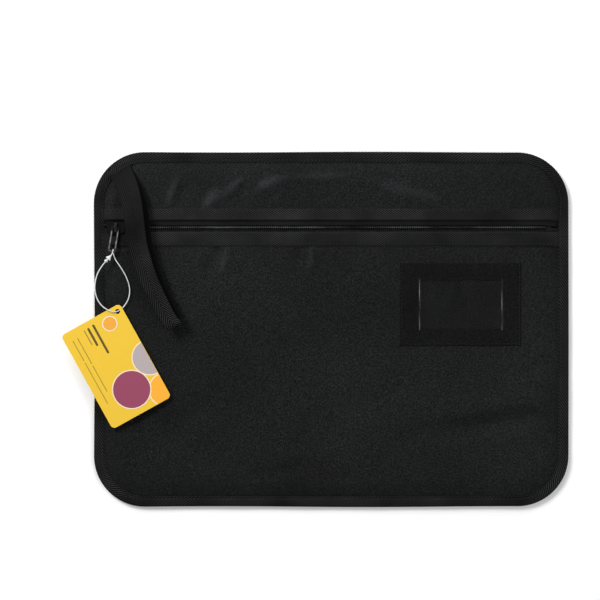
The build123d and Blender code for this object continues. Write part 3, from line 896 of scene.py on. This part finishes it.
# ---- card pocket ----
def make_pocket(materials):
    """The pocket's sewn frame, its clear window and its stitches."""
    half_x, half_y = (POCKET_HIGH - POCKET_LOW)[:2] / 2
    window = (34.5, 19.15)
    count_x, count_y = 98, 66
    corners = [(-1, -1), (1, -1), (1, 1), (-1, 1)]
    ring = []
    for index, (a, b) in enumerate(corners):
        c, d = corners[(index + 1) % 4]
        count = count_x if index % 2 == 0 else count_y
        for share in np.linspace(0, 1, count, endpoint=False):
            ring.append((a + (c - a) * share, b + (d - b) * share))
    ring = np.array(ring)
    share = np.concatenate([[0.0, 0.02, 0.05], np.linspace(0.08, 0.92, 16), [0.95, 0.98, 1.0]])
    x = ring[:, :1] * (half_x + (window[0] - half_x) * share[None, :])
    y = ring[:, 1:] * (half_y + (window[1] - half_y) * share[None, :])
    edge = np.minimum(half_x - np.abs(x), half_y - np.abs(y))
    hem = np.maximum(np.abs(x) - window[0], np.abs(y) - window[1])
    z = POCKET_HIGH[2] - 0.05 - 0.5 * (1 - ease(edge / 0.7)) - 0.25 * (1 - ease(hem / 0.8))
    z = z - 0.25 * np.exp(-(((edge - STITCH_INSET) / 0.6) ** 2))
    z = z - 0.2 * np.exp(-(((hem - 3.0) / 0.5) ** 2))
    z = z + 0.12 * np.sin(x / 7.0 + 1.0) * np.sin(y / 5.0) * ease(edge / 4.0)
    top = stack(POCKET[0] + x, POCKET[1] + y, z)
    under = stack(POCKET[0] + x, POCKET[1] + y, np.minimum(z - 0.15, POCKET_LOW[2] + 0.05))
    made = cloth("pocket_frame", top, under, materials["pocket"], loop=True)
    finish(made, "root", "id_pocket_frame")
    u = np.linspace(-1, 1, 300)[:, None] * (window[0] + 1.5)
    v = np.linspace(-1, 1, 60)[None, :] * (window[1] + 1.5)
    curl = 0.45 * np.exp(-(((np.abs(u) - window[0] + 1.3) / 0.75) ** 2))
    sag = 0.12 * np.cos(u / window[0] * 1.4) * np.cos(v / window[1] * 1.4)
    height = POCKET_LOW[2] + 0.42 + curl * (0.75 + 0.25 * np.sin(v / 6.0)) - sag
    film = stack(POCKET[0] + u, POCKET[1] + v, height)
    # painted glints: the mask of the bright lines painted along the film's curled left and right edges
    crease_glint = np.exp(-(((np.abs(u) - window[0] + 1.3) / 0.3) ** 2)) * (0.35 + 0.3 * np.sin(v / 4.1 + u / 30))
    clear = cloth("pocket_window", film, film - (0, 0, 0.12), materials["film"], crease_glint)
    finish(clear, "root", "id_pocket_window")
    places, ways = [], []
    reach_x, reach_y = half_x - STITCH_INSET, half_y - STITCH_INSET
    for at in np.arange(-reach_y + 1.5, reach_y, POCKET_STITCH_PITCH):
        for end in (-1, 1):
            places.append((POCKET[0] + end * reach_x, POCKET[1] + at, POCKET_HIGH[2] - 0.08))
            ways.append((0, 1, 0))
    for at in np.arange(-reach_x + 1.5, reach_x, POCKET_STITCH_PITCH):
        places.append((POCKET[0] + at, POCKET[1] - reach_y, POCKET_HIGH[2] - 0.08))
        ways.append((1, 0, 0))
    ways = np.array(ways, float)
    made = make_stitches("pocket_stitches", np.array(places), ways, POCKET_STITCH, materials["thread"])
    finish(made, "root", "pocket_thread")


# ---- wrist strap ----
STRAP_RIB = 3.0
STRAP_SLANT = -1.7
STRAP_HALF = 0.42  # half a ply's thickness
STRAP_TOP = [
    # x, y, z of the upper ply, heading, width
    (-172.8, 133.1, 3.9, -63.4, 18.6),
    (-170.5, 128.5, 4.7, -63.4, 18.4),
    (-167.4, 122.0, 9.4, -66.0, 17.8),
    (-163.6, 114.0, 14.4, -70.0, 17.0),
    (-160.0, 101.0, 18.0, -78.0, 16.4),
    (-158.2, 88.0, 19.2, -82.0, 16.0),
    (-156.0, 70.0, 19.2, -80.0, 16.0),
    (-151.0, 52.0, 19.0, -70.0, 15.4),
    (-143.6, 34.0, 19.2, -66.0, 14.0),
    (-134.2, 15.0, 19.2, -61.0, 13.4),
    (-129.4, 6.8, 19.1, -58.0, 13.0),
]
STRAP_FOLD = [
    (-126.4, 3.6, 18.2, -58.0, 13.0),
    (-125.2, 3.2, 16.4, -58.0, 13.0),
    (-125.0, 4.6, 14.6, -58.0, 13.0),
]
STRAP_UNDER = [
    (-126.0, 7.4, 13.9, -58.0, 13.0),
    (-130.6, 16.0, 13.8, -61.0, 13.4),
    (-139.8, 34.0, 13.9, -66.0, 14.0),
    (-147.2, 52.0, 14.0, -70.0, 15.4),
    (-152.2, 70.0, 14.1, -80.0, 16.0),
    (-154.4, 88.0, 14.0, -82.0, 16.0),
    (-156.4, 101.0, 13.0, -78.0, 16.4),
    (-161.0, 114.0, 10.6, -70.0, 17.0),
    (-166.4, 122.0, 7.7, -66.0, 17.8),
    (-170.2, 128.5, 3.75, -63.4, 18.4),
    (-172.6, 133.1, 3.0, -63.4, 18.6),
]


def smooth_through(stations, step):
    """A Catmull-Rom line through the stations, resampled to an even spacing."""
    values = np.array(stations, float)
    padded = np.vstack([2 * values[0] - values[1], values, 2 * values[-1] - values[-2]])
    fine = []
    for a, b, c, d in zip(padded, padded[1:], padded[2:], padded[3:]):
        for share in np.linspace(0, 1, 24, endpoint=False):
            fine.append(
                0.5 * (2 * b + (c - a) * share + (2 * a - 5 * b + 4 * c - d) * share**2
                       + (3 * b - a - 3 * c + d) * share**3)
            )
    fine.append(values[-1])
    fine = np.array(fine)
    length = np.concatenate([[0.0], np.cumsum(np.linalg.norm(np.diff(fine[:, :3], axis=0), axis=1))])
    count = round(length[-1] / step)
    even = np.linspace(0, length[-1], count)
    return np.stack([np.interp(even, length, column) for column in fine.T], 1), even


def make_strap(material):
    """One herringbone tape, doubled into a loop and caught under the binding at both ends."""
    line, along = smooth_through(STRAP_TOP + STRAP_FOLD + STRAP_UNDER, 0.34)
    heading = np.radians(line[:, 3])
    across = stack(-np.sin(heading), np.cos(heading), 0.0)
    way = unit(np.gradient(line[:, :3], axis=0))
    across = unit(across - way * (across * way).sum(1)[:, None])
    up = np.cross(way, across)
    share = np.linspace(-1, 1, 34)[None, :]
    offset = share * line[:, 4:5] / 2
    ribs = twill(along[:, None], np.abs(offset), STRAP_RIB, STRAP_SLANT)
    spine = np.exp(-((offset / 0.5) ** 2))
    ribs = ribs * (1 - spine) + 0.55 * spine
    # painted shade: the low selvedges are painted darker through the rib mask, as the rib crests are painted
    # lighter
    selvedge = ease((np.abs(share) - 0.93) / 0.07)
    ribs = ribs * (1 - 0.6 * selvedge)
    # painted shade: darker over the first 12 mm from the root, easing to full tone over the next 40 mm
    shade = 0.72 + 0.28 * ease((along[:, None] - 12.0) / 40.0)
    cup = 0.35 * share**2 * np.sin(along[:, None] / 31.0)
    proud = 0.42 * ribs - 0.16 + cup - 0.25 * selvedge
    centre = line[:, None, :3] + across[:, None] * offset[..., None]
    top = centre + up[:, None] * (STRAP_HALF + proud)[..., None]
    under = centre - up[:, None] * (STRAP_HALF + 0.2 * ribs - cup)[..., None]
    made = cloth("strap_tape", top, under, material, ribs * shade)
    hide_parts("wrist_strap")
    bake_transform(made)


# ---- hang tag and its loop ----
BAR = (-177.01, 62.99, 10.6)
LOOP = [
    # from the middle of the pull's end bar, as in the CAD
    (-0.59, -3.49, 1.30), (0.61, -2.19, 1.50), (1.26, 1.41, 1.60), (1.26, 1.41, -1.30),
    (1.11, -1.99, -1.30), (2.61, -6.59, -1.30), (7.11, -12.69, -1.20), (12.01, -20.99, -1.10),
    (14.71, -29.99, -1.10), (13.81, -37.79, -1.20), (10.41, -43.79, -1.30), (6.31, -47.59, -1.10),
    (2.71, -49.09, 1.60), (-3.39, -47.39, 1.60), (-9.39, -42.59, 1.50), (-12.99, -35.39, 1.20),
    (-13.79, -27.39, 0.90), (-12.19, -19.39, 0.60), (-8.59, -12.49, 0.50), (-4.99, -8.39, 0.80),
]
FILAMENT = 0.9


def make_loop(material, lock):
    """The nylon filament from the lock's tip, round the pull's end bar and through the card's hole."""
    curve = bpy.data.curves.new("nylon_loop", "CURVE")
    curve.dimensions = "3D"
    curve.bevel_depth = FILAMENT / 2 * MM
    curve.bevel_resolution = 4
    curve.resolution_u = 10
    spline = curve.splines.new("NURBS")
    spline.points.add(len(LOOP) - 1)
    for point, place in zip(spline.points, LOOP):
        point.co = [(base + way) * MM for base, way in zip(BAR, place)] + [1.0]
    spline.order_u = 3
    spline.use_endpoint_u = True
    curve.materials.append(material)
    made = add_object("nylon_loop", curve)
    finish(made, "tag_loop", "tag_loop")


LOCK_BALL = (-182.0, 54.6, 11.4)


def make_lock(material):
    """The loop's snap lock: a ball, a grooved neck and a barbed arrow head."""
    # distance from the ball's far side towards the tip as a share of the length, radius, flatness
    rings = [
        (0.00, 0.20, 1.0), (0.03, 0.85, 1.0), (0.09, 1.30, 1.0), (0.17, 1.45, 1.0), (0.25, 1.25, 1.0),
        (0.31, 0.80, 1.0), (0.35, 0.70, 1.0), (0.37, 0.95, 1.0), (0.40, 0.95, 1.0), (0.42, 0.70, 1.0),
        (0.47, 0.72, 1.0), (0.48, 2.10, 0.62), (0.50, 2.32, 0.6), (0.53, 2.26, 0.6), (0.62, 1.90, 0.64),
        (0.74, 1.40, 0.72), (0.86, 0.98, 0.85), (0.95, 0.76, 1.0), (1.00, 0.52, 1.0),
    ]
    ball = np.array(LOCK_BALL)
    tip = np.array(BAR) + np.array(LOOP[0])
    way = unit(tip - ball)
    side = unit(np.cross((0, 0, 1), way))
    up = np.cross(way, side)
    sides = 24
    turn = 2 * math.pi * np.arange(sides) / sides
    points = []
    for share, radius, flat in rings:
        centre = ball - way * 0.3 + (tip - ball + way * 0.3) * share
        ring = np.cos(turn)[:, None] * side + flat * np.sin(turn)[:, None] * up
        points.append(centre + radius * ring)
    faces = ring_faces(len(rings), sides, True)
    made = make_mesh("loop_lock", np.concatenate(points), faces, material)
    face_outward(made)
    finish(made, "tag_loop", "tag_loop_lock")
    return made


TAG_TURN = math.radians(29.0)
TAG_HOLE = (BAR[0] + 4.71, BAR[1] - 48.39)
CARD_LEFT, CARD_RIGHT = -49.4, 4.6
CARD_LOW, CARD_HIGH = -81.1, 4.9


def card_point(x, y, lift):
    """A place on the card: x and y from its hole, along and up the card, and lift over its face."""
    top = span("hang_tag")[1][2]
    return (
        TAG_HOLE[0] + x * math.cos(TAG_TURN) - y * math.sin(TAG_TURN),
        TAG_HOLE[1] + x * math.sin(TAG_TURN) + y * math.cos(TAG_TURN),
        top + lift,
    )


def clip_to_card(x, y, margin=0.3, radius=3.5):
    """The nearest place on the card, whose corners are round."""
    x = min(max(x, CARD_LEFT + margin), CARD_RIGHT - margin)
    y = min(max(y, CARD_LOW + margin), CARD_HIGH - margin)
    middle_x = min(max(x, CARD_LEFT + radius), CARD_RIGHT - radius)
    middle_y = min(max(y, CARD_LOW + radius), CARD_HIGH - radius)
    far = math.hypot(x - middle_x, y - middle_y)
    share = min(1.0, (radius - margin) / far) if far > 0 else 1.0
    return middle_x + (x - middle_x) * share, middle_y + (y - middle_y) * share


def make_patch(name, outline, lift, material):
    """A thin printed shape on the card, cut off at the card's edges."""
    clipped = []
    for x, y in outline:
        place = clip_to_card(x, y)
        if not clipped or math.dist(place, clipped[-1]) > 0.02:
            clipped.append(place)
    count = len(clipped)
    points = [card_point(x, y, lift) for x, y in clipped]
    points += [card_point(x, y, lift - 0.03) for x, y in clipped]
    faces = [tuple(range(count)), tuple(reversed(range(count, 2 * count)))]
    for index in range(count):
        other = (index + 1) % count
        faces.append((index, index + count, other + count, other))
    made = make_mesh(name, points, faces, material, smooth=False)
    finish(made, "tag", None)


def disc(x, y, radius, sides=56):
    turns = [2 * math.pi * side / sides for side in range(sides)]
    return [(x + radius * math.cos(turn), y + radius * math.sin(turn)) for turn in turns]


def block(x, y, width, height, radius=0.4):
    """A rounded block's outline, centred."""
    points = []
    for side, (a, b) in enumerate([(1, 1), (-1, 1), (-1, -1), (1, -1)]):
        for step in range(5):
            turn = math.radians(90 * side + 22.5 * step)
            middle_x, middle_y = x + a * (width / 2 - radius), y + b * (height / 2 - radius)
            points.append((middle_x + radius * math.cos(turn), middle_y + radius * math.sin(turn)))
    return points


def make_print():
    """Plain shapes and bars in place of the card's printed design and wording."""
    cream = print_material("cream_ink", (0.80, 0.66, 0.46, 1.0))
    shapes = [
        ("grey", 4.6, -44.8, 13.6, (0.40, 0.345, 0.345, 1.0)),
        ("orange", 3.9, -74.0, 13.4, (0.85, 0.38, 0.03, 1.0)),
        ("purple", -20.5, -60.5, 15.0, (0.265, 0.05, 0.10, 1.0)),
        ("badge", -10.2, -5.6, 5.4, (0.75, 0.34, 0.04, 1.0)),
    ]
    for order, (name, x, y, radius, colour) in enumerate(shapes):
        level = 0.04 + 0.03 * order
        make_patch(f"print_{name}_edge", disc(x, y, radius + 0.9), level, cream)
        make_patch(f"print_{name}", disc(x, y, radius), level + 0.012, print_material(f"{name}_ink", colour))
    dark = print_material("dark_ink", (0.10, 0.07, 0.012, 1.0))
    soft = print_material("soft_ink", (0.30, 0.21, 0.03, 1.0))
    # each bar's place across the card, its two ends along it, its width and its ink
    bars = [
        (-22.6, 0.3, -26.0, 1.9, dark), (-27.4, -0.2, -16.5, 1.9, dark), (-31.0, -0.4, -13.6, 0.9, soft),
        (-38.6, -3.0, -27.0, 0.7, soft), (-38.6, -28.4, -52.4, 0.7, soft),
        (-42.9, -3.2, -22.0, 0.7, soft), (-42.9, -23.4, -61.1, 0.7, soft),
    ]
    for order, (x, top, low, width, ink) in enumerate(bars):
        outline = block(x, (top + low) / 2, width, top - low, width * 0.45)
        make_patch(f"print_bar_{order}", outline, 0.04, ink)


def dress(node, material, bevel=0.0):
    """A CAD piece that keeps its shape, with its material and softened edges."""
    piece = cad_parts[node]
    piece.data.materials.clear()
    piece.data.materials.append(material)
    if bevel:
        edges = piece.modifiers.new("softened", "BEVEL")
        edges.width = bevel * MM
        edges.segments = 3
        edges.limit_method = "ANGLE"


# ---- the scene ----
make_camera()
make_studio()
nylon = nylon_material()
make_loop(nylon, make_lock(nylon))

panel_cloth = panel_material("panel_weave", grey(0.0012), (0.0272, 0.0299, 0.0285, 1.0))
pocket_cloth = panel_material("pocket_weave", grey(0.0008), grey(0.014, 0.05))
thread = thread_material()
mouth_materials = {
    "facing": tape_material("facing_twill", grey(0.0005), grey(0.084, 0.02)),
    "tape": tape_material("zip_tape_weave", grey(0.002), (0.075, 0.069, 0.074, 1.0)),
    "thread": thread,
    "coil": coil_material(),
}
make_panel("front_lower", "front_panel_lower", -INNER_Y - TUCK, LOWER_EDGE, panel_cloth)
make_panel("front_upper", "front_panel_upper", YOKE_EDGE, 0, panel_cloth)
make_back(panel_cloth)
make_binding(tape_material("binding_twill", grey(0.0004), grey(0.062, 0.02)))
make_edge_stitches(thread)
make_mouth(-1, mouth_materials)
make_mouth(1, mouth_materials)
make_pocket({"pocket": pocket_cloth, "film": film_material(), "thread": thread})
make_strap(tape_material("strap_twill", grey(0.0004), grey(0.062, 0.03)))


dress("zip_slider", slider_material(), 0.22)
dress("zip_pull", pull_material(), 0.28)
stop_material = stop_nylon()
make_stop("zip_top_stop_lower", True, stop_material)
make_stop("zip_top_stop_upper", True, stop_material)
make_stop("zip_bottom_stop", False, stop_material)
dress("hang_tag", print_material("yellow_card", (0.74, 0.475, 0.032, 1.0)))
make_print()

FLOOR_REACH = 4.0
FLOOR_LEVEL = -0.0003
floor = bpy.data.meshes.new("floor")
corners = [(-1, -1), (1, -1), (1, 1), (-1, 1)]
places = [(a * FLOOR_REACH, b * FLOOR_REACH, FLOOR_LEVEL) for a, b in corners]
floor.from_pydata(places, [], [(0, 1, 2, 3)])
floor.materials.append(floor_material())
ground = add_object("floor", floor)
